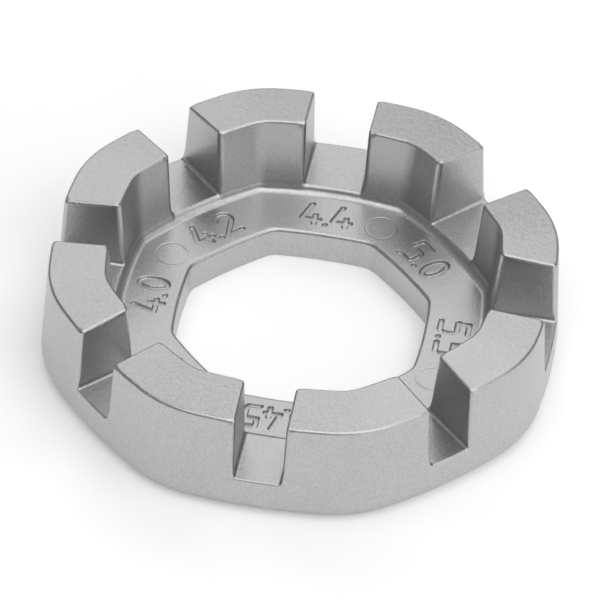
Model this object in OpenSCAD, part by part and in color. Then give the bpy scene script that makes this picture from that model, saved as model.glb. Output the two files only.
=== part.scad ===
// Ring-shaped spoke wrench: one cast ring with eight open jaws of rising size.
// Millimetres, +Z up. The origin is the centre of the underside. Jaw 2 opens
// towards -Y and the sizes rise clockwise as seen from above.

/* [Jaws] */
// Width of jaw 1, front right, measured at its floor
jaw_1_w = 3.3; // [2.8:0.05:6]
// Width of jaw 2, front
jaw_2_w = 3.45; // [2.8:0.05:6]
// Width of jaw 3, front left
jaw_3_w = 3.7; // [2.8:0.05:6]
// Width of jaw 4, left
jaw_4_w = 4.0; // [2.8:0.05:6]
// Width of jaw 5, back left
jaw_5_w = 4.2; // [2.8:0.05:6]
// Width of jaw 6, back
jaw_6_w = 4.4; // [2.8:0.05:6]
// Width of jaw 7, back right
jaw_7_w = 5.0; // [2.8:0.05:6]
// Width of jaw 8, right
jaw_8_w = 5.5; // [2.8:0.05:6]
// Depth of the jaws below the inner top edges of the lugs
jaw_depth = 5.6; // [3:0.1:10]
// How far each jaw wall leans back between the floor and the top
jaw_lean = 0.12; // [0.05:0.01:0.4]

/* [Lugs] */
// Axis to the middle of an outer side, at the lug tops
top_outer_r = 18.15; // [15:0.05:24]
// Corner radius of the outer octagon at the lug tops
top_outer_corner_r = 8.8; // [4:0.1:14]
// Radius that the sides of the outer octagon bow out with
outer_side_r = 40; // [30:1:80]
// Width of the lug tops, from the inner sides to the outer ones
lug_top_w = 4.15; // [2.5:0.05:6]
// Corner radius of the inner octagon at the lug tops
top_inner_corner_r = 3.1; // [1.5:0.1:8]
// Radius that the sides of the inner octagon bow out with
inner_side_r = 30; // [25:1:80]
// How much lower the outer top edge lies than the inner one
top_fall = 0.35; // [0.1:0.05:1]

/* [Base] */
// Thickness of the rim, from the underside to the jaw floors
rim_h = 3.1; // [2.8:0.05:6]
// How far the rim, where it is widest, stands out beyond the lug tops
rim_reach = 0.35; // [0.05:0.05:2]
// Corner radius of the outer octagon where the rim is widest
rim_corner_r = 9.6; // [5:0.1:15]
// Rounding of the lower outer edge
rim_edge_r = 1.3; // [0.3:0.05:2]
// Thickness of the web inside the lugs
web_h = 2.55; // [1.5:0.05:2.6]
// Width of the web, from the middle of a side of the hole to the slope round the web
web_w = 4.27; // [2.5:0.01:7]
// Width of the slope between the web and the height of the jaw floors
slope_w = 0.3; // [0.1:0.05:0.8]
// How far the wall of the well comes in between the lug tops and that slope
well_reach = 0.5; // [0.05:0.05:1.5]
// Corner radius of that wall at the slope
well_corner_r = 1.9; // [1:0.1:6]

/* [Hole] */
// Corner radius of the hole
hole_corner_r = 1.6; // [0.5:0.1:4]
// Radius that the sides of the hole bow out with
hole_side_r = 37; // [20:1:80]
// Rounding of the upper edge of the hole
hole_edge_r = 0.25; // [0.05:0.05:0.6]

/* [Hidden] */
jaw_w = [jaw_1_w, jaw_2_w, jaw_3_w, jaw_4_w, jaw_5_w, jaw_6_w, jaw_7_w, jaw_8_w];
jaws = len(jaw_w);
total_h = rim_h + jaw_depth;
half_turn = 180 / jaws;
rim_outer_r = top_outer_r + rim_reach;
top_inner_r = top_outer_r - lug_top_w;
well_r = top_inner_r - well_reach;
hole_r = well_r - slope_w - web_w;
// Steps along a corner arc, along half a side, and along a rounded edge
arc_steps = 8;
side_steps = 2;
edge_steps = 4;
// How far the cuts run past the lugs
overrun = 2;

// Direction of jaw i, counted from 1, clockwise seen from above
function jaw_angle(i) = -45 - 2 * half_turn * (i - 1);

function mix(a, b, t) = a + (b - a) * t;

function ray(r, a) = r * [cos(a), sin(a)];

// All octagons here are arcs that run smoothly into each other. The middles of the sides lie at r
// from the axis, the sides bow out with the radius s, and the corners have the radius c.

// How far a side turns between its middle and the corner beside it
function side_turn(r, c, s) = half_turn - asin(sin(half_turn) * (s - r) / (s - c));

// From the middle of the side that faces the direction f to just short of the middle of the next
function sector(f, r, c, s) =
    let (turn = side_turn(r, c, s), g = f + 2 * half_turn,
         centre = ray((s - c) * sin(turn) / sin(half_turn), f + half_turn))
    concat(
        [for (i = [0:side_steps - 1]) ray(r - s, f) + ray(s, f + turn * i / side_steps)],
        [for (i = [0:arc_steps]) centre + ray(c, mix(f + turn, g - turn, i / arc_steps))],
        [for (i = [side_steps - 1:-1:1]) ray(r - s, g) + ray(s, g - turn * i / side_steps)]
    );

// The whole octagon at height z
function outline(z, r, c, s) =
    [for (j = [0:jaws - 1]) each [for (p = sector(2 * half_turn * j, r, c, s)) [p[0], p[1], z]]];

// Its part between the middles of the two sides beside the direction a
function outline_part(z, a, r, c, s) =
    [for (p = concat(sector(a - half_turn, r, c, s), [ray(r, a + half_turn)])) [p[0], p[1], z]];

// The outer wall rises straight from the rounded lower edge to the lug tops
function outer_share(z) = (z - rim_edge_r) / (total_h - top_fall - rim_edge_r);
function outer_r(z) = mix(rim_outer_r, top_outer_r, outer_share(z));
function outer_corner(z) = mix(rim_corner_r, top_outer_corner_r, outer_share(z));

// Closed rings of equal length, stacked from the lowest up, with flat ends
module stack(rings) {
    n = len(rings[0]);
    m = len(rings);
    sides = [for (k = [0:m - 2]) for (i = [0:n - 1])
        let (a = k * n + i, b = k * n + (i + 1) % n, c = a + n, d = b + n)
        each [[a, c, b], [b, c, d]]];
    low_end = [for (i = [0:n - 1]) i];
    high_end = [for (i = [n - 1:-1:0]) (m - 1) * n + i];
    polyhedron(points = [for (ring = rings) each ring], faces = concat(sides, [low_end, high_end]));
}

// Open rows of equal length, joined each to the next and the last to the first,
// closed by a flat face at either end
module loft(rows) {
    n = len(rows[0]);
    m = len(rows);
    sides = [for (k = [0:m - 1]) for (i = [0:n - 2])
        let (a = k * n + i, b = k * n + i + 1, c = (k + 1) % m * n + i, d = (k + 1) % m * n + i + 1)
        each [[a, b, c], [b, d, c]]];
    first_end = [for (k = [0:m - 1]) k * n];
    last_end = [for (k = [m - 1:-1:0]) k * n + n - 1];
    polyhedron(points = [for (row = rows) each row], faces = concat(sides, [first_end, last_end]));
}

// The hole through the web, wider at its rounded upper edge
module hole_space() {
    stack(concat(
        [outline(-overrun, hole_r, hole_corner_r, hole_side_r)],
        [for (i = [0:edge_steps])
            let (a = 90 * i / edge_steps, out = hole_edge_r * (1 - cos(a)))
            outline(web_h - hole_edge_r * (1 - sin(a)), hole_r + out, hole_corner_r + out,
                    hole_side_r + out)],
        [outline(total_h, hole_r + hole_edge_r, hole_corner_r + hole_edge_r, hole_side_r + hole_edge_r)]
    ));
}

// The well that the lugs stand round, with the slope at its foot
module well_space() {
    stack([
        outline(web_h, well_r - slope_w, well_corner_r - slope_w, inner_side_r - slope_w),
        outline(rim_h, well_r, well_corner_r, inner_side_r),
        outline(total_h, top_inner_r, top_inner_corner_r, inner_side_r)
    ]);
}

// The web and the rim below the jaws, in one piece
module base_ring() {
    color([0.74, 0.74, 0.74])
        difference() {
            stack(concat(
                [for (i = [edge_steps:-1:0])
                    let (a = 90 * i / edge_steps, in = rim_edge_r * (1 - cos(a)))
                    outline(rim_edge_r * (1 - sin(a)), rim_outer_r - in, rim_corner_r - in,
                            outer_side_r - in)],
                [outline(rim_h, outer_r(rim_h), outer_corner(rim_h), outer_side_r)]
            ));
            hole_space();
            well_space();
        }
}

// The open jaw i, as the space that it leaves between its two lugs
module jaw_space(i) {
    low_z = rim_h - overrun;
    high_z = total_h + overrun;
    lean_per_mm = jaw_lean / jaw_depth;
    low_w = jaw_w[i - 1] / 2 - lean_per_mm * overrun;
    high_w = jaw_w[i - 1] / 2 + lean_per_mm * (jaw_depth + overrun);
    rotate([0, 0, jaw_angle(i) + 90])
        rotate([90, 0, 0])
            linear_extrude(height = rim_outer_r + overrun)
                polygon([[-low_w, low_z], [low_w, low_z], [high_w, high_z], [-high_w, high_z]]);
}

// The lug between jaw i and the next one clockwise
module lug(i) {
    a = jaw_angle(i) - half_turn;
    outer_top_z = total_h - top_fall;
    color([0.76, 0.76, 0.76])
        difference() {
            loft([
                outline_part(rim_h, a, well_r, well_corner_r, inner_side_r),
                outline_part(total_h, a, top_inner_r, top_inner_corner_r, inner_side_r),
                outline_part(outer_top_z, a, top_outer_r, top_outer_corner_r, outer_side_r),
                outline_part(rim_h, a, outer_r(rim_h), outer_corner(rim_h), outer_side_r)
            ]);
            jaw_space(i);
            jaw_space(i % jaws + 1);
        }
}

base_ring();
lug(1);  // lug_1_2
lug(2);  // lug_2_3
lug(3);  // lug_3_4
lug(4);  // lug_4_5
lug(5);  // lug_5_6
lug(6);  // lug_6_7
lug(7);  // lug_7_8
lug(8);  // lug_8_1
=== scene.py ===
"""A ring-shaped spoke wrench, cast in steel, on a pale product stage.

The casting is one closed surface, cut at the height of the jaw floors into the base ring and the eight
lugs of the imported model. Lengths are in metres, angles in radians.
"""

import math

import bpy
import numpy as np
from bpy.props import FloatProperty, FloatVectorProperty, PointerProperty
from bpy.types import Operator, Panel, PropertyGroup
from mathutils import Matrix, Vector
from mathutils.geometry import delaunay_2d_cdt


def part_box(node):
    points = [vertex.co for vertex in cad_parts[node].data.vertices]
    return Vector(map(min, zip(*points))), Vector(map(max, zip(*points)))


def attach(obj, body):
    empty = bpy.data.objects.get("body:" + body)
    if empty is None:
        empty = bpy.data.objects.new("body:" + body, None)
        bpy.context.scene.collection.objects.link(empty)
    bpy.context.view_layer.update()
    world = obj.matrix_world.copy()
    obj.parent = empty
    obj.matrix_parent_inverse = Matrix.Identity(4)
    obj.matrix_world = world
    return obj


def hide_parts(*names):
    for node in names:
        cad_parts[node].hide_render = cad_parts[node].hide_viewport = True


bl_info = {
    "name": "Spoke Wrench",
    "version": (1, 0, 0),
    "blender": (4, 5, 0),
    "location": "View3D > Sidebar > Spoke Wrench",
    "description": "Builds a ring-shaped spoke wrench with eight jaws, and a plain stage for it",
    "category": "Add Mesh",
}

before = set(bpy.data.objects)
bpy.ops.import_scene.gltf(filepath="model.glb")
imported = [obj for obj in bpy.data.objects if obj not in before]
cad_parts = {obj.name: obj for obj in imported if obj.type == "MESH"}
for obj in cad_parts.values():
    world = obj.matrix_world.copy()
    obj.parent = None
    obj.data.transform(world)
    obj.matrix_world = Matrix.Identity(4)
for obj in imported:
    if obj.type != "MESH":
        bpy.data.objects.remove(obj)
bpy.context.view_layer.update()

MM = 0.001
JAWS = 8
HALF_TURN = math.pi / JAWS
UP = (0.0, 0.0, 1.0)
DOWN = (0.0, 0.0, -1.0)
BASE_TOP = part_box("base_ring")[1]
LUG_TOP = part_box("lug_5_6")[1]

# Jaw sizes as they are cast into the web, from jaw 1 at the front right, clockwise from above
SIZE_MARKS = ("3.3", "3.45", "3.7", "4.0", "4.2", "4.4", "5.0", "5.5")

# Strokes of each numeral on a field of width 1 and height 1: rows of points, or arcs given as
# (centre x, centre y, radius x, radius y, first angle, last angle) in degrees
NUMERAL_SHARES = {
    "0": [("arc", 0.5, 0.5, 0.42, 0.5, 0, 360)],
    "2": [("arc", 0.5, 0.72, 0.46, 0.28, 165, -25), ("row", (0.917, 0.602), (0.02, 0.0), (1.0, 0.0))],
    "3": [("arc", 0.46, 0.76, 0.44, 0.24, 155, -90), ("arc", 0.46, 0.26, 0.5, 0.26, 90, -155)],
    "4": [("row", (0.42, 1.0), (0.0, 0.24), (1.0, 0.24)), ("row", (0.74, 0.46), (0.74, 0.0))],
    "5": [("row", (0.94, 1.0), (0.12, 1.0), (0.08, 0.6), (0.68, 0.6)),
          ("arc", 0.68, 0.42, 0.26, 0.18, 90, 0), ("row", (0.94, 0.42), (0.94, 0.18)),
          ("arc", 0.68, 0.18, 0.26, 0.18, 0, -90), ("row", (0.68, 0.0), (0.06, 0.0))],
    "7": [("row", (0.0, 1.0), (1.0, 1.0), (0.34, 0.0))],
    ".": [("row", (0.44, 0.0), (0.56, 0.0))],
}
ARC_POINTS = 25

# Where one rounding of a lug's edges runs into the next, as (start, end): above the jaw floors, below
# the lug tops, and in from the jaw walls
FLOOR_BLEND = (0.1 * MM, 1.0 * MM)
TOP_BLEND = (0.5 * MM, 1.2 * MM)
JAW_BLEND = (0.2 * MM, 0.7 * MM)

# How far the slope of the lug tops is carried on past their edges, in shares of their width
FALL_LIMIT_SHARES = (-0.5, 1.5)

# Width of the squares in a numeral's field, and of the flat border round the numerals
NUMERAL_CELL = 0.05 * MM

# A pin mark's ring: the half widths of its floor and of the whole ring, the width of the patch on
# either side of its middle line, and how many radii towards the hole it would fade out
PIN_RING = (0.02 * MM, 0.09 * MM)
PIN_BORDER = 0.1 * MM
PIN_FADE_SHARE = 3.0

# A length and a slope so small that they only keep a division from failing, and the least step that
# counts between two heights
TINY = 1e-9
TINY_SLOPE = 1e-6
LEAST_STEP = 1e-7

# Soft lights, as (name, degrees from +X towards +Y, degrees above the floor, width, the setting of its
# power)
SOFT_LIGHTS = (
    ("top_light", 290, 75, 0.9, "top_power"),
    ("right_light", 330, 30, 0.9, "right_power"),
    ("back_left_light", 110, 40, 0.42, "back_power"),
    ("back_right_light", 70, 52, 0.42, "back_power"),
)


class WrenchSizes(PropertyGroup):
    """Sizes of the casting. Radii run from the axis to the flats of an octagon."""

    jaw_widths: FloatVectorProperty(
        name="Jaw widths", description="Width of each jaw at its floor, from jaw 1 to jaw 8", size=8,
        default=(3.3 * MM, 3.45 * MM, 3.7 * MM, 4.0 * MM, 4.2 * MM, 4.4 * MM, 5.0 * MM, 5.5 * MM),
        precision=5, unit="LENGTH")
    jaw_lean: FloatProperty(
        name="Jaw lean", description="How far a jaw wall leans back from the floor to the top",
        default=0.12 * MM, precision=5, unit="LENGTH")
    jaw_fillet: FloatProperty(
        name="Jaw fillet", description="Fillet between a jaw floor and its walls",
        default=0.25 * MM, precision=5, unit="LENGTH")
    height: FloatProperty(
        name="Height", description="Height of the inner top edges of the lugs",
        default=LUG_TOP.z, precision=5, unit="LENGTH")
    top_fall: FloatProperty(
        name="Top fall", description="How much lower the outer top edge lies than the inner one",
        default=0.35 * MM, precision=5, unit="LENGTH")
    rim_height: FloatProperty(
        name="Rim height", description="Height of the jaw floors", default=BASE_TOP.z, precision=5,
        unit="LENGTH")
    web_height: FloatProperty(
        name="Web height", description="Thickness of the web", default=2.55 * MM, precision=5,
        unit="LENGTH")
    rim_radius: FloatProperty(
        name="Rim radius", description="Outer radius at the top of the lower rounding",
        default=BASE_TOP.x, precision=5, unit="LENGTH")
    rim_corner: FloatProperty(
        name="Rim corner", description="Corner radius of the rim", default=9.6 * MM, precision=5,
        unit="LENGTH")
    rim_rounding: FloatProperty(
        name="Rim rounding", description="Rounding of the lower outer edge", default=1.3 * MM,
        precision=5, unit="LENGTH")
    top_outer_radius: FloatProperty(
        name="Top outer radius", description="Outer radius at the lug tops", default=18.15 * MM,
        precision=5, unit="LENGTH")
    top_outer_corner: FloatProperty(
        name="Top outer corner", description="Outer corner radius at the lug tops", default=8.8 * MM,
        precision=5, unit="LENGTH")
    outer_side: FloatProperty(
        name="Outer side", description="Radius that the outer sides bow out with", default=40 * MM,
        precision=5, unit="LENGTH")
    top_inner_radius: FloatProperty(
        name="Top inner radius", description="Inner radius at the lug tops", default=14.0 * MM,
        precision=5, unit="LENGTH")
    top_inner_corner: FloatProperty(
        name="Top inner corner", description="Inner corner radius at the lug tops", default=3.1 * MM,
        precision=5, unit="LENGTH")
    inner_side: FloatProperty(
        name="Inner side", description="Radius that the inner sides bow out with", default=30 * MM,
        precision=5, unit="LENGTH")
    well_radius: FloatProperty(
        name="Well radius", description="Radius at the foot of the well's wall", default=13.5 * MM,
        precision=5, unit="LENGTH")
    well_corner: FloatProperty(
        name="Well corner", description="Corner radius at the foot of the well's wall",
        default=1.9 * MM, precision=5, unit="LENGTH")
    slope_width: FloatProperty(
        name="Slope width", description="Width of the slope between the web and the jaw floors",
        default=0.3 * MM, precision=5, unit="LENGTH")
    slope_fillet: FloatProperty(
        name="Slope fillet", description="Fillet between the web and that slope",
        default=0.32 * MM, precision=5, unit="LENGTH")
    hole_radius: FloatProperty(
        name="Hole radius", description="From the axis to the middle of a side of the hole",
        default=8.93 * MM, precision=5, unit="LENGTH")
    hole_corner: FloatProperty(
        name="Hole corner", description="Corner radius of the hole", default=1.6 * MM, precision=5,
        unit="LENGTH")
    hole_side: FloatProperty(
        name="Hole side", description="Radius that the sides of the hole bow out with",
        default=37 * MM, precision=5, unit="LENGTH")
    hole_rounding: FloatProperty(
        name="Hole rounding", description="Rounding of the hole's upper edge", default=0.32 * MM,
        precision=5, unit="LENGTH")
    lower_rounding: FloatProperty(
        name="Lower rounding", description="Rounding of the hole's lower edge", default=0.1 * MM,
        precision=5, unit="LENGTH")
    top_rounding: FloatProperty(
        name="Top rounding", description="Rounding of the lugs' top edges", default=0.22 * MM,
        precision=5, unit="LENGTH")
    lug_rounding: FloatProperty(
        name="Lug rounding", description="Rounding of the lugs' inner upright edges",
        default=0.36 * MM, precision=5, unit="LENGTH")
    outer_rounding: FloatProperty(
        name="Outer rounding", description="Rounding of the lugs' outer upright edges",
        default=0.36 * MM, precision=5, unit="LENGTH")
    floor_rounding: FloatProperty(
        name="Floor rounding", description="Rounding of the jaw floors' inner and outer edges",
        default=0.16 * MM, precision=5, unit="LENGTH")


class SizeMarks(PropertyGroup):
    """The numerals and the round pin marks in the web."""

    numeral_height: FloatProperty(
        name="Numeral height", description="Height of a numeral between its stroke middles",
        default=2.1 * MM, precision=5, unit="LENGTH")
    numeral_width: FloatProperty(
        name="Numeral width", description="Width of a numeral between its stroke middles",
        default=1.3 * MM, precision=5, unit="LENGTH")
    spacing: FloatProperty(
        name="Spacing", description="Free width between two numerals", default=0.5 * MM,
        precision=5, unit="LENGTH")
    stroke: FloatProperty(
        name="Stroke", description="Width of a groove at its top", default=0.46 * MM, precision=5,
        unit="LENGTH")
    depth: FloatProperty(
        name="Depth", description="Depth of the grooves", default=0.24 * MM, precision=5,
        unit="LENGTH")
    groove_wall: FloatProperty(
        name="Groove wall", description="Width of a groove's sloping wall", default=0.1 * MM,
        precision=5, unit="LENGTH")
    baseline: FloatProperty(
        name="Baseline", description="From the axis to the foot of the numerals",
        default=10.05 * MM, precision=5, unit="LENGTH")
    pin_radius: FloatProperty(
        name="Pin radius", description="Radius of a round pin mark", default=1.15 * MM, precision=5,
        unit="LENGTH")
    pin_place: FloatProperty(
        name="Pin place", description="From the axis to the middle of a pin mark",
        default=11.33 * MM, precision=5, unit="LENGTH")
    pin_spread: FloatProperty(
        name="Pin spread", description="Angle from the middle of lug 5-6 or 1-2 to the next pin marks",
        default=math.radians(43.8), unit="ROTATION")
    pin_depth: FloatProperty(
        name="Pin depth", description="Depth of the ring left by a pin, on its outer side",
        default=0.022 * MM, precision=5, unit="LENGTH")
    long_share: FloatProperty(
        name="Long mark share", description="Width of a mark with three numerals, as a share",
        default=0.83, min=0.5, max=1)


class WrenchFinish(PropertyGroup):
    """The satin, blasted surface of the casting."""

    colour: FloatVectorProperty(
        name="Colour", description="Colour of the bare steel", subtype="COLOR", size=3,
        default=(0.5, 0.5, 0.5), min=0, max=1)
    roughness: FloatProperty(
        name="Roughness", description="Mean roughness of the blasted surface", default=0.36, min=0,
        max=1)
    grain: FloatProperty(
        name="Grain", description="Size of the blasted grain", default=0.16 * MM, precision=6,
        unit="LENGTH")
    relief: FloatProperty(
        name="Relief", description="Height of the blasted grain", default=0.016 * MM, precision=6,
        unit="LENGTH")
    speckle: FloatProperty(
        name="Speckle", description="How much lighter or darker the grain makes the steel",
        default=0.26, min=0, max=1)
    cloud: FloatProperty(
        name="Cloud", description="Size of the faint lighter and darker clouds", default=6.0 * MM,
        precision=5, unit="LENGTH")
    cloud_shade: FloatProperty(
        name="Cloud shade", description="How much lighter or darker the clouds make the steel",
        default=0.06, min=0, max=1)
    roughness_spread: FloatProperty(
        name="Roughness spread", description="How much the grain changes the roughness", default=0.08,
        min=0, max=1)
    swell: FloatProperty(
        name="Swell", description="Size of the shallow waves left by the mould", default=0.5 * MM,
        precision=6, unit="LENGTH")
    swell_height: FloatProperty(
        name="Swell height", description="Height of those waves", default=0.015 * MM, precision=6,
        unit="LENGTH")


class StageSettings(PropertyGroup):
    """Camera, floor and lights."""

    lens: FloatProperty(name="Lens", description="Focal length in millimetres", default=486.3, min=1)
    distance: FloatProperty(
        name="Distance", description="From the camera to its aim", default=586.4 * MM, precision=4,
        unit="LENGTH")
    azimuth: FloatProperty(
        name="Azimuth", description="Turn of the camera from -Y towards +X",
        default=math.radians(7.80), unit="ROTATION")
    elevation: FloatProperty(
        name="Elevation", description="Height of the camera above the floor, as an angle",
        default=math.radians(42.64), unit="ROTATION")
    roll: FloatProperty(
        name="Roll", description="Turn of the camera about its own axis",
        default=math.radians(3.11), unit="ROTATION")
    aim: FloatVectorProperty(
        name="Aim", description="The point at the middle of the picture", size=3,
        default=(-0.111 * MM, -0.316 * MM, 4.35 * MM), precision=5, unit="LENGTH")
    floor_colour: FloatVectorProperty(
        name="Floor colour", description="Colour of the floor", subtype="COLOR", size=3,
        default=(0.93, 0.93, 0.93), min=0, max=1)
    floor_glow: FloatProperty(
        name="Floor glow", description="How much brighter the floor looks than it is lit",
        default=0.2, min=0)
    floor_radius: FloatProperty(
        name="Floor radius", description="Radius of the round floor", default=0.6, unit="LENGTH")
    light_distance: FloatProperty(
        name="Light distance", description="From the wrench to each soft light", default=0.8,
        unit="LENGTH")
    sky: FloatProperty(
        name="Sky", description="Strength of the light from all round", default=0.25, min=0)
    top_power: FloatProperty(
        name="Top power", description="Strength of the broad light above, in watts", default=3.6,
        min=0)
    right_power: FloatProperty(
        name="Right power", description="Strength of the broad light at the front right, in watts",
        default=2.2, min=0)
    back_power: FloatProperty(
        name="Back power", description="Strength of each of the two lights behind, in watts",
        default=0.62, min=0)


def mix(low, high, share):
    """The value at a share of the way from low to high."""
    return low + (high - low) * share


def smooth_share(value, low, high):
    """0 below low, 1 above high, and a smooth cubic rise between."""
    share = np.clip((value - low) / (high - low), 0.0, 1.0)
    return share * share * (3.0 - 2.0 * share)


def round_and(first, second, radius):
    """Intersection of two distance fields, with a quarter circle along their common edge."""
    corner = np.hypot(np.maximum(radius + first, 0.0), np.maximum(radius + second, 0.0))
    return np.minimum(-radius, np.maximum(first, second)) + corner


def round_or(first, second, radius):
    """Union of two distance fields, with a quarter circle fillet along their common edge."""
    corner = np.hypot(np.maximum(radius - first, 0.0), np.maximum(radius - second, 0.0))
    return np.maximum(radius, np.minimum(first, second)) - corner


def side_turn(radius, corner, side):
    """How far a side arc turns between its middle and the corner arc beside it."""
    return HALF_TURN - np.arcsin(math.sin(HALF_TURN) * (side - radius) / (side - corner))


def corner_reach(radius, corner, side):
    """From the axis to the centre of a corner arc."""
    return (side - corner) * np.sin(side_turn(radius, corner, side)) / math.sin(HALF_TURN)


def octagon(along, across, outline):
    """Distance to an octagon of arcs, from a point in the sector of one side.

    along runs out of the side and across runs along it. outline is (radius, corner, side): the side
    bows out as an arc of the radius side, with its middle at radius from the axis, and the arc of the
    corner radius runs on smoothly from it.
    """
    radius, corner, side = outline
    out, across = along - radius + side, np.abs(across)
    reach = corner_reach(radius, corner, side)
    from_corner = np.hypot(along - reach * math.cos(HALF_TURN), across - reach * math.sin(HALF_TURN))
    beside = np.arctan2(across, out) < side_turn(radius, corner, side)
    return np.where(beside, np.hypot(out, across) - side, from_corner - corner)


class Casting:
    """The casting as a field: below zero in the metal, above zero outside it."""

    def __init__(self, sizes, marks):
        self.s = sizes
        self.m = marks
        self.widths = np.array(sizes.jaw_widths)
        self.outer_top = sizes.height - sizes.top_fall

    def inner_outline(self, z):
        """Outline of the well's wall at height z: straight from the jaw floors to the lug tops."""
        s = self.s
        share = (z - s.rim_height) / (s.height - s.rim_height)
        return (mix(s.well_radius, s.top_inner_radius, share),
                mix(s.well_corner, s.top_inner_corner, share), s.inner_side)

    def outer_outline(self, z):
        """Outline of the outer wall at height z: straight above the lower rounding."""
        s = self.s
        share = np.maximum(z - s.rim_rounding, 0.0) / (self.outer_top - s.rim_rounding)
        return (mix(s.rim_radius, s.top_outer_radius, share),
                mix(s.rim_corner, s.top_outer_corner, share), s.outer_side)

    def jaw_half_width(self, flat, z):
        """Half the width of the jaw in a flat at height z."""
        s = self.s
        lean = s.jaw_lean * (z - s.rim_height) / (s.height - s.rim_height)
        return self.widths[(JAWS - 1 - flat) % JAWS] / 2 + lean

    def slope(self, along, across, z):
        """Distance to the slope that rises from the web to the foot of the well's wall."""
        s = self.s
        rise = s.rim_height - s.web_height
        inward = -octagon(along, across, (s.well_radius, s.well_corner, s.inner_side))
        level = (z - s.rim_height) * s.slope_width + inward * rise
        return level / math.hypot(rise, s.slope_width)

    def field(self, points):
        """The whole field, put together from the walls, floors and tops of the casting."""
        s = self.s
        x, y, z = points[..., 0], points[..., 1], points[..., 2]
        flat = np.rint(np.arctan2(y, x) / (2 * HALF_TURN))
        turn = flat * 2 * HALF_TURN
        along = x * np.cos(turn) + y * np.sin(turn)
        across = y * np.cos(turn) - x * np.sin(turn)
        flat = flat.astype(int) % JAWS

        from_inner = octagon(along, across, self.inner_outline(s.height))
        from_outer = octagon(along, across, self.outer_outline(self.outer_top))
        fall_share = np.clip(from_inner / (from_inner - from_outer + TINY), *FALL_LIMIT_SHARES)
        top = z - (s.height - s.top_fall * fall_share)
        jaw = self.jaw_half_width(flat, z) - np.abs(across)
        well = -octagon(along, across, self.inner_outline(np.maximum(z, s.web_height)))
        rim = octagon(along, across, self.outer_outline(z))
        hole = -octagon(along, across, (s.hole_radius, s.hole_corner, s.hole_side))

        # The upright edges keep their roundings up to a lug's corners; its top edges have their own
        above_floor = z - s.rim_height
        upright = smooth_share(above_floor, *FLOOR_BLEND)
        near_top = smooth_share(z, s.height - TOP_BLEND[1], s.height - TOP_BLEND[0])
        on_top = near_top * smooth_share(-jaw, *JAW_BLEND)
        inner = mix(mix(s.floor_rounding, s.lug_rounding, upright), s.top_rounding, on_top)
        outer = mix(mix(s.floor_rounding, s.outer_rounding, upright), s.top_rounding, on_top)

        lugs = round_and(round_and(jaw, top, s.top_rounding), well, inner)
        floors = round_and(above_floor, self.slope(along, across, z), s.floor_rounding)
        body = round_or(floors, lugs, s.jaw_fillet)
        body = round_or(z - s.web_height, body, s.slope_fillet)
        body = round_and(body, rim, outer)
        body = round_and(body, hole, s.hole_rounding)
        lower = np.where(from_inner > 0.0, s.rim_rounding, s.lower_rounding)
        return round_and(body, -z, lower)

    def gradient(self, points, step=0.001 * MM):
        """The field's gradient, by central differences."""
        slopes = []
        for axis in range(3):
            shift = np.zeros(3)
            shift[axis] = step
            slopes.append((self.field(points + shift) - self.field(points - shift)) / (2 * step))
        return np.stack(slopes, axis=-1)

    def settle(self, points, rounds=7):
        """Moves points to the surface along the gradient, and returns them with their unit normals."""
        for _ in range(rounds):
            way = self.gradient(points)
            length = np.maximum((way ** 2).sum(-1), TINY_SLOPE)
            points = points - way * (self.field(points) / length)[..., None]
        way = self.gradient(points)
        return points, way / np.linalg.norm(way, axis=-1, keepdims=True)


def quarter_round(radius, steps):
    """Points on a quarter circle, as rows of (how far in, how far down) from the edge that it rounds.

    They run from (0, radius) to (radius, 0).
    """
    angle = np.linspace(0.0, math.pi / 2, steps + 1)
    return radius * np.column_stack([1.0 - np.cos(angle), 1.0 - np.sin(angle)])


def outline_total(outline):
    """Length of an octagon of arcs between the middle of a side and the middle of a corner."""
    radius, corner, side = outline
    turn = side_turn(radius, corner, side)
    return side * turn + corner * (HALF_TURN - turn)


def outline_place(length, outline):
    """The point at a length along an octagon of arcs, from the middle of a side towards a corner."""
    radius, corner, side = outline
    turn = side_turn(radius, corner, side)
    reach = corner_reach(radius, corner, side)
    on_side = length < side * turn
    angle = np.where(on_side, length / side, turn + (length - side * turn) / corner)
    bend = np.where(on_side, side, corner)
    along = np.where(on_side, radius - side, reach * math.cos(HALF_TURN)) + bend * np.cos(angle)
    across = np.where(on_side, 0.0, reach * math.sin(HALF_TURN)) + bend * np.sin(angle)
    return along, across


def outline_length(across, outline):
    """The length along an octagon of arcs at which it is that far from the middle line of its side."""
    radius, corner, side = outline
    turn = side_turn(radius, corner, side)
    past = (across - corner_reach(radius, corner, side) * math.sin(HALF_TURN)) / corner
    on_corner = side * turn + corner * (np.arcsin(np.clip(past, -1.0, 1.0)) - turn)
    return np.where(across < side * math.sin(turn), side * np.arcsin(across / side), on_corner)


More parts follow.
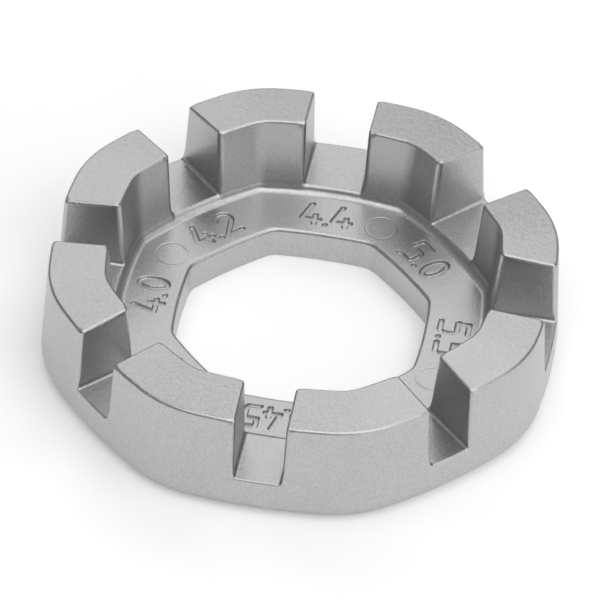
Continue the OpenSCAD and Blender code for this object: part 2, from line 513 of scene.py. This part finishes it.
class Around:
    """The lines that cross the ring, from the middle of each flat to its corners, flat by flat.

    Each line has a place across its flat, a share of the way from the jaw's edge to the corner, and
    the height that the jaw allows there: floor, fillet, wall, rounded edge, and then the lug's top.
    """

    FLOOR, FILLET, WALL, EDGE, LUG = 8, 5, 12, 5, 18

    # How much closer together the lines stand at a lug's ends than halfway along it
    CROWDING = 0.1

    def __init__(self, casting):
        s = casting.s
        floor, high = s.rim_height, s.height
        self.across, self.share, self.cap, self.flat, self.edge = [], [], [], [], []
        fillet_out, fillet_up = quarter_round(s.jaw_fillet, self.FILLET)[1:].T[::-1]
        edge_out, edge_down = quarter_round(s.top_rounding, self.EDGE)[1:].T
        wall = np.linspace(floor + s.jaw_fillet, high - s.top_rounding, self.WALL + 1)
        step = np.linspace(0.0, 1.0, self.LUG + 1)
        lug_shares = step - self.CROWDING * np.sin(2 * math.pi * step)
        no_cap = 2 * high
        for flat in range(JAWS):
            half = casting.jaw_half_width(flat, floor)
            top_half = casting.jaw_half_width(flat, high)
            across = np.concatenate([
                np.linspace(0.0, half - s.jaw_fillet, self.FLOOR + 1),
                half - fillet_out,
                casting.jaw_half_width(flat, wall[1:]),
                top_half + edge_out,
            ])
            cap = np.concatenate([
                np.full(self.FLOOR + 1, floor),
                floor + fillet_up,
                wall[1:],
                high - edge_down,
            ])
            share = np.concatenate([np.zeros(len(across)), lug_shares[1:]])
            cap = np.concatenate([cap, np.full(self.LUG, no_cap)])
            edge = across[-1]
            across = np.concatenate([across, np.full(self.LUG, edge)])
            both = np.concatenate([-across[-2:0:-1], across])
            self.across.append(both)
            self.share.append(np.concatenate([share[-2:0:-1], share]))
            self.cap.append(np.concatenate([cap[-2:0:-1], cap]))
            self.flat.append(np.full(len(both), flat))
            self.edge.append(np.full(len(both), edge))
        for name in ("across", "share", "cap", "flat", "edge"):
            setattr(self, name, np.concatenate(getattr(self, name)))
        self.per_flat = len(self.across) // JAWS
        self.middle = self.per_flat // 2 - 1
        self.jaw_lines = self.FLOOR
        self.count = len(self.across)

    def lengths(self, outline):
        """How far along a quarter side each line meets an octagon of arcs."""
        edge = outline_length(self.edge, outline)
        onward = edge + self.share * (outline_total(outline) - edge)
        return np.where(self.share > 0.0, onward, outline_length(np.abs(self.across), outline))

    def places(self, outline, like=None):
        """Where each line meets an octagon of arcs. With like, the lines keep their shares of that one."""
        if like is None:
            length = self.lengths(outline)
        else:
            length = self.lengths(like) * outline_total(outline) / outline_total(like)
        along, across = outline_place(length, outline)
        across = across * np.sign(self.across)
        turn = self.flat * 2 * HALF_TURN
        return np.stack([along * np.cos(turn) - across * np.sin(turn),
                         along * np.sin(turn) + across * np.cos(turn)], axis=-1)


def section_lines(casting):
    """The closed section of the ring, as (outline, height) rows.

    The rows run from the foot of the slope over the lug's top, down the outer wall, under the ring and
    in to its flat underside.
    """
    s = casting.s
    floor, rise = s.rim_height, s.rim_height - s.web_height
    foot = np.array(casting.inner_outline(floor))
    start = foot - s.slope_width
    fillet_steps = np.linspace(0.48 * MM, 0.0, 9)
    slope_shares = (0.08, 0.2, 0.4, 0.6, 0.8, 0.9, 0.96)
    rows = [(start - step, s.web_height) for step in fillet_steps]
    rows += [(start + share * s.slope_width, s.web_height + share * rise) for share in slope_shares]

    wall_foot = floor + 0.5 * MM
    wall_rows = 13
    low = [floor + step * MM for step in (0.0, 0.04, 0.1, 0.18, 0.3)]
    for z in low + list(np.linspace(wall_foot, s.height - s.top_rounding, wall_rows)):
        rows.append((np.array(casting.inner_outline(z)), z))

    top_steps, rim_steps = 5, 9
    top_round = quarter_round(s.top_rounding, top_steps)
    inner = np.array(casting.inner_outline(s.height))
    outer = np.array(casting.outer_outline(casting.outer_top))
    rows += [(inner + inset, s.height - drop) for inset, drop in top_round[1:]]
    top_shares = (0.03, 0.06, 0.1, 0.18, 0.3, 0.42, 0.56, 0.7, 0.8, 0.87, 0.91, 0.94, 0.96, 0.98, 1.0)
    for share in top_shares:
        rows.append((mix(inner + s.top_rounding, outer - s.top_rounding, share),
                     mix(s.height, casting.outer_top, share)))
    rows += [(outer - inset, casting.outer_top - drop) for inset, drop in top_round[-2::-1]]

    high = list(np.linspace(casting.outer_top - s.top_rounding, wall_foot, wall_rows))[1:]
    low = [floor + step * MM for step in (0.3, 0.18, 0.08, 0.0, -0.04, -0.08, -0.15, -0.4, -0.9, -1.4)]
    for z in high + low + [s.rim_rounding]:
        rows.append((np.array(casting.outer_outline(z)), z))
    edge = np.array(casting.outer_outline(s.rim_rounding))
    rows += [(edge - inset, z) for inset, z in quarter_round(s.rim_rounding, rim_steps)[1:]]
    return rows


def hole_lines(casting):
    """The section of the hole, from its lower edge up to the web, as (widening, height) rows."""
    s = casting.s
    lower_steps, wall_rows, upper_steps = 3, 5, 6
    wall = np.linspace(s.lower_rounding, s.web_height - s.hole_rounding, wall_rows)
    rows = [(inset, z) for z, inset in quarter_round(s.lower_rounding, lower_steps)]
    rows += [(0.0, z) for z in wall[1:-1]]
    rows += [(inset, s.web_height - drop) for inset, drop in quarter_round(s.hole_rounding, upper_steps)]
    return rows


def casting_grid(casting):
    """Points and normals of the whole casting but its web, as a grid of rows by lines round the ring."""
    s = casting.s
    around = Around(casting)
    section = section_lines(casting)
    rows = [np.column_stack([around.places(outline), np.minimum(around.cap, z)]) for outline, z in section]
    hole = np.array([s.hole_radius, s.hole_corner, s.hole_side])
    hole_rows = [np.column_stack([around.places(hole + widening, like=section[0][0]),
                                  np.full(around.count, z)]) for widening, z in hole_lines(casting)]
    underside = rows[-1]
    underside_shares = (0.12, 0.3, 0.5, 0.7, 0.88)
    rows += [mix(underside, hole_rows[0], share) for share in underside_shares]
    rows += hole_rows
    points, normals = casting.settle(np.stack(rows))
    points[..., 2] = np.maximum(points[..., 2], 0.0)
    return around, points, normals


def lug_window(casting, around, lug):
    """Rows and lines of the grid that a lug covers, given by the flat before it, anticlockwise."""
    heights = np.array([z for _, z in section_lines(casting)])
    level = np.flatnonzero(np.abs(heights - casting.s.rim_height) < LEAST_STEP)
    first = lug * around.per_flat + around.middle + around.jaw_lines
    last = first + around.per_flat - 2 * around.jaw_lines
    return level[0], level[1], np.arange(first, last + 1) % around.count


def table_quads(table, turned=False):
    """Quads between neighbouring places in a table of vertex numbers, round the other way if turned."""
    quads = np.stack([table[:-1, :-1], table[1:, :-1], table[1:, 1:], table[:-1, 1:]], axis=-1).reshape(-1, 4)
    return quads[:, [0, 3, 2, 1]] if turned else quads


def table_edge(table):
    """Vertex numbers round the edge of a table."""
    return np.concatenate([table[0, :-1], table[:-1, -1], table[-1, :0:-1], table[:0:-1, 0]])


def segment_distance(points, starts, ends):
    """Least distance from each point to a set of straight strokes."""
    run = ends - starts
    length = np.maximum((run ** 2).sum(-1), TINY ** 2)
    offset = points[:, None, :] - starts[None, :, :]
    share = np.clip((offset * run).sum(-1) / length, 0.0, 1.0)
    return np.sqrt(((offset - share[..., None] * run) ** 2).sum(-1)).min(axis=1)


def numeral_strokes(text, marks):
    """Straight strokes of a size mark, centred on both axes."""
    share = marks.long_share if len(text) > 3 else 1.0
    widths = [0.0 if sign == "." else share * marks.numeral_width for sign in text]
    gap = share * marks.spacing
    point_width = 0.5 * marks.stroke
    left = -(sum(widths) + gap * (len(text) - 1)) / 2
    starts, ends = [], []
    for sign, width in zip(text, widths):
        field = np.array([width or point_width, marks.numeral_height])
        foot = np.array([left if width else left - field[0] / 2, -marks.numeral_height / 2])
        for kind, *values in NUMERAL_SHARES[sign]:
            if kind == "arc":
                x, y, radius_x, radius_y, first, last = values
                angle = np.radians(np.linspace(first, last, ARC_POINTS))
                row = np.column_stack([x + radius_x * np.cos(angle), y + radius_y * np.sin(angle)])
            else:
                row = np.array(values)
            row = row * field + foot
            starts.append(row[:-1])
            ends.append(row[1:])
        left += width + gap
    return np.concatenate(starts), np.concatenate(ends)


def groove(distance, marks):
    """Depth of a numeral's groove at a distance from its stroke: a flat floor with sloping walls."""
    half = marks.stroke / 2
    return marks.depth * (1.0 - smooth_share(distance, half - marks.groove_wall, half))


def web_point(place, angle, local):
    """Points of the web from a mark's own field, whose up way is the direction angle."""
    up_way = np.array([math.cos(angle), math.sin(angle)])
    right_way = np.array([math.sin(angle), -math.cos(angle)])
    return (place + local[:, 1:]) * up_way + local[:, :1] * right_way


def sunk_patch(casting, place, angle, local, depth_at):
    """Points and normals of a patch of the web that is sunk by depth_at."""
    step = 0.005 * MM
    sunk = depth_at(local)
    slope_x = (depth_at(local + [step, 0.0]) - depth_at(local - [step, 0.0])) / (2 * step)
    slope_y = (depth_at(local + [0.0, step]) - depth_at(local - [0.0, step])) / (2 * step)
    points = np.column_stack([web_point(place, angle, local), casting.s.web_height - sunk])
    tilt = web_point(0.0, angle, np.column_stack([slope_x, slope_y]))
    normals = np.column_stack([tilt, np.ones(len(tilt))])
    return points, normals / np.linalg.norm(normals, axis=1, keepdims=True)


def numeral_patch(casting, text, angle):
    """Points, normals, quads and edge of a size mark, as a fine field of squares."""
    marks = casting.m
    starts, ends = numeral_strokes(text, marks)
    reach = np.abs(np.concatenate([starts, ends])).max(axis=0) + marks.stroke / 2 + NUMERAL_CELL
    cells = np.ceil(2 * reach / NUMERAL_CELL).astype(int)
    across, up = np.meshgrid(*[np.linspace(-end, end, cell + 1) for end, cell in zip(reach, cells)])
    local = np.column_stack([across.ravel(), up.ravel()])
    points, normals = sunk_patch(
        casting, marks.baseline + marks.numeral_height / 2, angle, local,
        lambda spots: groove(segment_distance(spots, starts, ends), marks))
    table = np.arange(len(local)).reshape(cells[1] + 1, cells[0] + 1)
    return points, normals, [table_quads(table, turned=True)], table_edge(table)


def pin_patch(casting, angle):
    """Points, normals, faces and edge of a pin mark: a fine ring pressed into the web.

    The pin stood a little askew, so the ring fades towards the hole.
    """
    marks = casting.m
    steps, sides = 9, 64
    offsets = np.linspace(-PIN_BORDER, PIN_BORDER, steps)
    turn = np.linspace(0.0, 2 * math.pi, sides, endpoint=False)
    radius = marks.pin_radius + offsets
    local = np.stack([radius[:, None] * np.cos(turn), radius[:, None] * np.sin(turn)], axis=-1)
    local = np.concatenate([local.reshape(-1, 2), [[0.0, 0.0]]])

    def depth_at(spots):
        off = np.abs(np.hypot(spots[:, 0], spots[:, 1]) - marks.pin_radius)
        askew = smooth_share(spots[:, 1], -PIN_FADE_SHARE * marks.pin_radius, marks.pin_radius)
        return marks.pin_depth * askew * (1.0 - smooth_share(off, *PIN_RING))

    points, normals = sunk_patch(casting, marks.pin_place, angle, local, depth_at)
    table = np.arange(steps * sides).reshape(steps, sides)
    quads = table_quads(np.column_stack([table, table[:, 0]])[::-1], turned=True)
    return points, normals, [quads, fan_faces(table[0], steps * sides)], table[-1]


def mark_patches(casting):
    """All size marks and pin marks, as (points, normals, face sets, edge anticlockwise)."""
    patches = [numeral_patch(casting, text, -2 * HALF_TURN * (number + 1))
               for number, text in enumerate(SIZE_MARKS)]
    lug_5_6, lug_1_2 = 5 * HALF_TURN, 13 * HALF_TURN
    for middle in (lug_5_6, lug_1_2):
        patches += [pin_patch(casting, middle + side * casting.m.pin_spread) for side in (-1, 1)]
    return patches


def flat_fill(outlines):
    """Triangles between a closed outline and the ones inside it, as numbers into their points in order.

    They are worked out on the points in millimetres, and the triangulation keeps to the outlines.
    All outlines run anticlockwise. A triangle with its three corners on one inner outline, in that
    outline's own order, lies inside it and is left out.
    """
    points = np.concatenate(outlines)
    lengths = np.array([len(outline) for outline in outlines])
    owner = np.repeat(np.arange(len(outlines)), lengths)
    first = np.repeat(np.cumsum(lengths) - lengths, lengths)
    length = np.repeat(lengths, lengths)
    number = np.arange(len(points)) - first
    edges = np.column_stack([first + number, first + (number + 1) % length])
    flat = [Vector(point) for point in (points / MM).tolist()]
    inside_only, same_point = 1, 1e-7
    result = delaunay_2d_cdt(flat, edges.tolist(), [], inside_only, same_point)
    if any(len(source) != 1 for source in result[3]):
        raise RuntimeError("The outlines on the web touch or cross")
    source = np.array([source[0] for source in result[3]])
    triangles = source[np.array([list(face) for face in result[2]])]
    corners = points[triangles]
    run, rise = corners[:, 1] - corners[:, 0], corners[:, 2] - corners[:, 0]
    turned = run[:, 0] * rise[:, 1] - run[:, 1] * rise[:, 0] < 0.0
    triangles[turned] = triangles[turned][:, ::-1]
    steps = (np.roll(number[triangles], -1, axis=1) - number[triangles]) % length[triangles]
    owners = owner[triangles]
    inside = (owners == owners[:, :1]).all(axis=1) & (owners[:, 0] > 0)
    inside &= steps.sum(axis=1) == length[triangles[:, 0]]
    return triangles[~inside]


def mesh_piece(name, points, normals, face_sets, material):
    """A mesh object at the origin, with its place in its mesh and its own normals.

    face_sets holds (faces, way): way is the normal of all their corners, or None for those of the
    points. The edges between the two kinds are sharp.
    """
    used = np.unique(np.concatenate([faces.ravel() for faces, _ in face_sets]))
    number = np.zeros(len(points), int)
    number[used] = np.arange(len(used))
    faces, corner_normals, one_way = [], [], []
    for group, way in face_sets:
        faces += number[group].tolist()
        corners = normals[group.ravel()] if way is None else np.tile(way, (group.size, 1))
        corner_normals.append(corners)
        one_way.append(np.full(group.size, way is not None))
    mesh = bpy.data.meshes.new(name)
    mesh.from_pydata(points[used].tolist(), [], faces)
    mesh.polygons.foreach_set("use_smooth", np.ones(len(faces), bool))
    corner_edges = np.zeros(len(mesh.loops), np.int32)
    mesh.loops.foreach_get("edge_index", corner_edges)
    sides = np.bincount(corner_edges, weights=np.concatenate(one_way), minlength=len(mesh.edges))
    mesh.edges.foreach_set("use_edge_sharp", sides == 1)
    mesh.normals_split_custom_set(np.concatenate(corner_normals).tolist())
    mesh.materials.append(material)
    piece = bpy.data.objects.new(name, mesh)
    bpy.context.scene.collection.objects.link(piece)
    return piece


def lug_node(lug):
    """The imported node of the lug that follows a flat, anticlockwise."""
    first = (JAWS - 2 - lug) % JAWS + 1
    return f"lug_{first}_{first % JAWS + 1}"


def fan_faces(walk, hub):
    """Triangles from a hub to each step of a closed walk."""
    return np.column_stack([walk, np.roll(walk, -1), np.full(len(walk), hub)])


def steel(finish):
    """Satin blasted steel: fine grain in relief, shade and roughness, over shallow waves and faint clouds."""
    material = bpy.data.materials.new("blasted_steel")
    material.use_nodes = True
    nodes, links = material.node_tree.nodes, material.node_tree.links
    shader = nodes["Principled BSDF"]
    shader.inputs["Metallic"].default_value = 1.0
    place = nodes.new("ShaderNodeTexCoord")

    def noise(size, detail):
        """Noise from 0 to 1 with lumps of about that size."""
        texture = nodes.new("ShaderNodeTexNoise")
        texture.inputs["Scale"].default_value = 1.0 / size
        texture.inputs["Detail"].default_value = detail
        links.new(place.outputs["Object"], texture.inputs["Vector"])
        return texture.outputs["Fac"]

    def spread(value, middle, reach):
        """Carries 0 to 1 over to middle - reach to middle + reach."""
        node = nodes.new("ShaderNodeMapRange")
        node.inputs["To Min"].default_value = middle - reach
        node.inputs["To Max"].default_value = middle + reach
        links.new(value, node.inputs["Value"])
        return node.outputs["Result"]

    fine_detail, cloud_detail = 2.0, 5.0
    grain, swell = noise(finish.grain, fine_detail), noise(finish.swell, fine_detail)
    cloud = noise(finish.cloud, cloud_detail)
    shade = nodes.new("ShaderNodeMath")
    shade.operation = "MULTIPLY"
    links.new(spread(cloud, 1.0, finish.cloud_shade), shade.inputs[0])
    links.new(spread(grain, 1.0, finish.speckle), shade.inputs[1])
    tint = nodes.new("ShaderNodeVectorMath")
    tint.operation = "SCALE"
    tint.inputs[0].default_value = finish.colour
    links.new(shade.outputs["Value"], tint.inputs["Scale"])
    links.new(tint.outputs["Vector"], shader.inputs["Base Color"])
    roughness = spread(grain, finish.roughness, finish.roughness_spread)
    links.new(roughness, shader.inputs["Roughness"])

    normal = None
    for height, distance in ((swell, finish.swell_height), (grain, finish.relief)):
        relief = nodes.new("ShaderNodeBump")
        relief.inputs["Strength"].default_value = 1.0
        relief.inputs["Distance"].default_value = distance
        links.new(height, relief.inputs["Height"])
        if normal:
            links.new(normal, relief.inputs["Normal"])
        normal = relief.outputs["Normal"]
    links.new(normal, shader.inputs["Normal"])
    return material


def steel_material():
    """The one steel of the casting, made at its first use."""
    found = bpy.data.materials.get("blasted_steel")
    return found or steel(bpy.context.scene.wrench_finish)


def finish_piece(piece, *nodes):
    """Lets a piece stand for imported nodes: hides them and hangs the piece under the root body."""
    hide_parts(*nodes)
    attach(piece, "root")


class WRENCH_OT_base_ring(Operator):
    """The web, the hole, the rim and the jaw floors, closed under each lug"""

    bl_idname = "wrench.base_ring"
    bl_label = "Base Ring"

    def execute(self, context):
        casting = Casting(context.scene.wrench_sizes, context.scene.wrench_marks)
        around, grid, grid_normals = casting_grid(casting)
        row_count, line_count = grid.shape[:2]
        starts = np.arange(row_count) * line_count
        points, normals = [grid.reshape(-1, 3)], [grid_normals.reshape(-1, 3)]
        total = row_count * line_count

        covered = np.zeros((row_count - 1, line_count), bool)
        caps = []
        for lug in range(JAWS):
            low, high, window = lug_window(casting, around, lug)
            covered[low:high, window[:-1]] = True
            walk = table_edge(starts[low:high + 1, None] + window)
            hub = points[0][walk].mean(axis=0)
            points.append([[hub[0], hub[1], casting.s.rim_height]])
            normals.append([UP])
            caps.append(fan_faces(walk, total))
            total += 1
        table = starts[:, None] + np.arange(line_count + 1) % line_count
        walls = table_quads(table)[~covered.ravel()]
        face_sets = [(walls, None), (np.concatenate(caps), UP)]

        outlines = [grid[0, :, :2], grid[-1, :, :2]]
        numbers = [np.arange(line_count), starts[-1] + np.arange(line_count)]
        for spots, ways, patch_faces, edge in mark_patches(casting):
            points.append(spots)
            normals.append(ways)
            face_sets += [(faces + total, None) for faces in patch_faces]
            outlines.append(spots[edge, :2])
            numbers.append(edge + total)
            total += len(spots)
        face_sets.append((np.concatenate(numbers)[flat_fill(outlines)], UP))

        piece = mesh_piece("base_ring_cast", np.concatenate(points), np.concatenate(normals), face_sets,
                           steel_material())
        finish_piece(piece, "base_ring")
        return {"FINISHED"}


class WRENCH_OT_lugs(Operator):
    """The eight lugs, each closed by a flat fan where it stands on the ring"""

    bl_idname = "wrench.lugs"
    bl_label = "Lugs"

    def execute(self, context):
        casting = Casting(context.scene.wrench_sizes, context.scene.wrench_marks)
        around, grid, grid_normals = casting_grid(casting)
        row_count, line_count = grid.shape[:2]
        starts = np.arange(row_count) * line_count
        points, normals = grid.reshape(-1, 3), grid_normals.reshape(-1, 3)
        for lug in range(JAWS):
            low, high, window = lug_window(casting, around, lug)
            table = starts[low:high + 1, None] + window
            walk = table_edge(table)
            hub = points[walk].mean(axis=0)
            hub[2] = casting.s.rim_height
            face_sets = [(table_quads(table), None), (fan_faces(walk[::-1], len(points)), DOWN)]
            node = lug_node(lug)
            piece = mesh_piece(node + "_cast", np.concatenate([points, [hub]]),
                               np.concatenate([normals, [DOWN]]), face_sets, steel_material())
            finish_piece(piece, node)
        return {"FINISHED"}


def plain_material(name, colour, glow):
    """A matt surface that the camera, and what mirrors it, sees a little brighter than it is lit."""
    material = bpy.data.materials.new(name)
    material.use_nodes = True
    nodes, links = material.node_tree.nodes, material.node_tree.links
    nodes.clear()
    output = nodes.new("ShaderNodeOutputMaterial")
    matt = nodes.new("ShaderNodeBsdfDiffuse")
    matt.inputs["Color"].default_value = (*colour, 1.0)
    light = nodes.new("ShaderNodeEmission")
    path = nodes.new("ShaderNodeLightPath")
    seen = nodes.new("ShaderNodeMath")
    seen.operation = "MAXIMUM"
    strength = nodes.new("ShaderNodeMath")
    strength.operation = "MULTIPLY"
    strength.inputs[1].default_value = glow
    both = nodes.new("ShaderNodeAddShader")
    links.new(path.outputs["Is Camera Ray"], seen.inputs[0])
    links.new(path.outputs["Is Glossy Ray"], seen.inputs[1])
    links.new(seen.outputs["Value"], strength.inputs[0])
    links.new(strength.outputs["Value"], light.inputs["Strength"])
    links.new(matt.outputs["BSDF"], both.inputs[0])
    links.new(light.outputs["Emission"], both.inputs[1])
    links.new(both.outputs["Shader"], output.inputs["Surface"])
    return material


def floor_sheet(radius, rings=24, sides=96):
    """A round floor, as a fan of rings about the axis, just under the wrench."""
    distance = radius * np.linspace(0.0, 1.0, rings + 1)[1:]
    angle = np.linspace(0.0, 2 * math.pi, sides, endpoint=False)
    plan = np.stack([distance[:, None] * np.cos(angle), distance[:, None] * np.sin(angle)], axis=-1)
    points = np.column_stack([plan.reshape(-1, 2), np.zeros(rings * sides)])
    points = np.concatenate([points, np.zeros((1, 3))])
    table = np.arange(rings * sides).reshape(rings, sides)
    return points, table_quads(np.column_stack([table, table[:, 0]])), fan_faces(table[0], rings * sides)


def area_light(name, azimuth, elevation, distance, width, power):
    """A square soft light over the floor, given by two angles in degrees, that looks at the wrench."""
    lamp = bpy.data.lights.new(name, "AREA")
    lamp.shape = "SQUARE"
    lamp.size = width
    lamp.energy = power
    turn, rise = math.radians(azimuth), math.radians(elevation)
    way = Vector((math.cos(rise) * math.cos(turn), math.cos(rise) * math.sin(turn), math.sin(rise)))
    holder = bpy.data.objects.new(name, lamp)
    holder.location = distance * way
    holder.rotation_euler = way.to_track_quat("Z", "Y").to_euler()
    bpy.context.scene.collection.objects.link(holder)


def place_camera(stage):
    """The camera of the photograph: aim, distance, two angles and a roll."""
    camera = bpy.data.cameras.new("photo_camera")
    camera.lens = stage.lens
    camera.sensor_width = 36.0
    camera.clip_start = 0.01
    camera.clip_end = 20.0
    holder = bpy.data.objects.new("photo_camera", camera)
    bpy.context.scene.collection.objects.link(holder)
    back = Vector((math.sin(stage.azimuth) * math.cos(stage.elevation),
                   -math.cos(stage.azimuth) * math.cos(stage.elevation), math.sin(stage.elevation)))
    turn = back.to_track_quat("Z", "Y").to_matrix() @ Matrix.Rotation(stage.roll, 3, "Z")
    holder.matrix_world = Matrix.Translation(Vector(stage.aim) + back * stage.distance) @ turn.to_4x4()
    bpy.context.scene.camera = holder


class WRENCH_OT_stage(Operator):
    """The camera, the pale floor, the light from all round and four soft lights"""

    bl_idname = "wrench.stage"
    bl_label = "Stage"

    def execute(self, context):
        stage = context.scene.wrench_stage
        scene = context.scene
        scene.view_settings.view_transform = "Standard"
        place_camera(stage)

        points, quads, middle = floor_sheet(stage.floor_radius)
        floor = mesh_piece("floor", points, np.tile(UP, (len(points), 1)), [(quads, UP), (middle, UP)],
                           plain_material("pale_floor", stage.floor_colour, stage.floor_glow))

        world = scene.world or bpy.data.worlds.new("World")
        scene.world = world
        world.use_nodes = True
        nodes, links = world.node_tree.nodes, world.node_tree.links
        nodes.clear()
        output = nodes.new("ShaderNodeOutputWorld")
        sky = nodes.new("ShaderNodeBackground")
        sky.inputs["Color"].default_value = (1.0, 1.0, 1.0, 1.0)
        path = nodes.new("ShaderNodeLightPath")
        strength = nodes.new("ShaderNodeMapRange")
        strength.inputs["To Min"].default_value = stage.sky
        strength.inputs["To Max"].default_value = 1.0
        links.new(path.outputs["Is Camera Ray"], strength.inputs["Value"])
        links.new(strength.outputs["Result"], sky.inputs["Strength"])
        links.new(sky.outputs["Background"], output.inputs["Surface"])

        for name, azimuth, elevation, width, power in SOFT_LIGHTS:
            area_light(name, azimuth, elevation, stage.light_distance, width, getattr(stage, power))
        return {"FINISHED"}


class WRENCH_PT_panel(Panel):
    """Sidebar panel with the wrench's pieces and sizes"""

    bl_label = "Spoke Wrench"
    bl_idname = "WRENCH_PT_panel"
    bl_space_type = "VIEW_3D"
    bl_region_type = "UI"
    bl_category = "Spoke Wrench"

    def draw(self, context):
        scene = context.scene
        layout = self.layout
        for operator in OPERATORS:
            layout.operator(operator.bl_idname)
        for group in (scene.wrench_sizes, scene.wrench_marks, scene.wrench_finish, scene.wrench_stage):
            box = layout.box()
            for name in group.__annotations__:
                box.prop(group, name)


GROUPS = {
    "wrench_sizes": WrenchSizes,
    "wrench_marks": SizeMarks,
    "wrench_finish": WrenchFinish,
    "wrench_stage": StageSettings,
}
OPERATORS = (WRENCH_OT_stage, WRENCH_OT_base_ring, WRENCH_OT_lugs)


def register():
    """Registers the groups, the operators and the panel."""
    for group in (*GROUPS.values(), *OPERATORS, WRENCH_PT_panel):
        bpy.utils.register_class(group)
    for name, group in GROUPS.items():
        setattr(bpy.types.Scene, name, PointerProperty(type=group))


def unregister():
    """Takes away what register() added."""
    for name in GROUPS:
        delattr(bpy.types.Scene, name)
    for group in (WRENCH_PT_panel, *reversed(OPERATORS), *reversed(GROUPS.values())):
        bpy.utils.unregister_class(group)


def main():
    """Registers the classes and makes the stage and the pieces in order."""
    register()
    bpy.ops.wrench.stage()
    bpy.ops.wrench.base_ring()
    bpy.ops.wrench.lugs()


if __name__ == "__main__":
    main()
